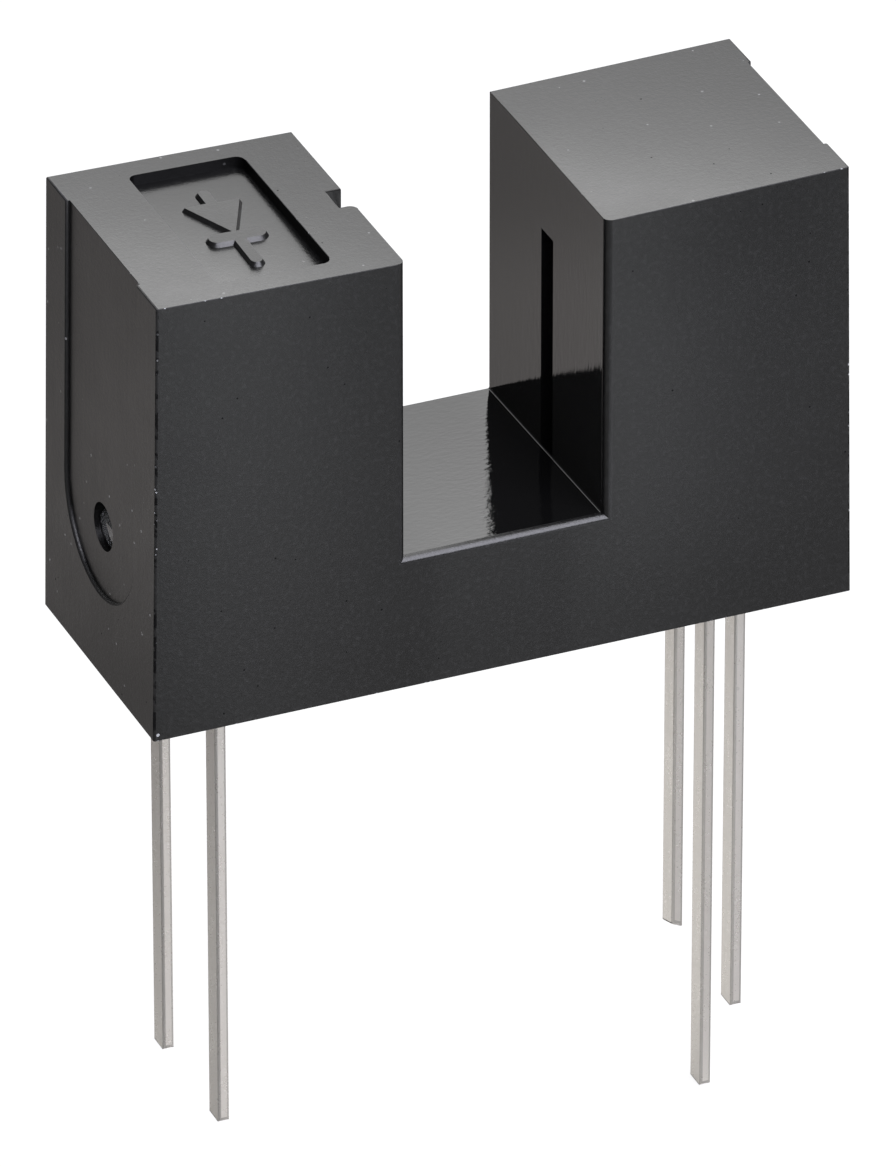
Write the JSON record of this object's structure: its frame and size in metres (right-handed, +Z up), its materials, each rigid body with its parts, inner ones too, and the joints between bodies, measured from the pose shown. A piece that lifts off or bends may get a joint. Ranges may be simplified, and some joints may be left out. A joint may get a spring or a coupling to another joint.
{
  "type": "slotted optical switch",
  "caption": "Through-hole slotted optical switch: a black U-shaped housing whose towers hold an infrared emitter and a photo-IC detector that face each other across a slot.",
  "frame": {"origin": "centre of the housing's bottom face, where it sits on the circuit board", "axes": "+X along the optical axis from emitter to detector, -Y out of the front face, +Z up; the leads reach below z = 0"},
  "size_m": [0.0126, 0.005, 0.019],
  "materials": {
    "housing_plastic": "fine matte outside, polished in the slot",
    "clear_resin": "clear moulded epoxy",
    "tin_plate": "satin tin plate",
    "emitter_chip": "sawn wafer",
    "detector_chip": "passivated wafer",
    "bond_gold": "drawn gold wire"
  },
  "bodies": {
    "root": {"housing": "housing_plastic", "emitter_package": "clear_resin", "cathode_lead": "tin_plate", "anode_lead": "tin_plate", "led_chip": "emitter_chip", "anode_bond_wire": "bond_gold", "detector_package": "clear_resin", "ground_lead": "tin_plate", "output_lead": "tin_plate", "supply_lead": "tin_plate", "photo_ic_chip": "detector_chip", "ground_bond_wire": "bond_gold", "output_bond_wire": "bond_gold", "supply_bond_wire": "bond_gold"}
  },
  "joints": []
}
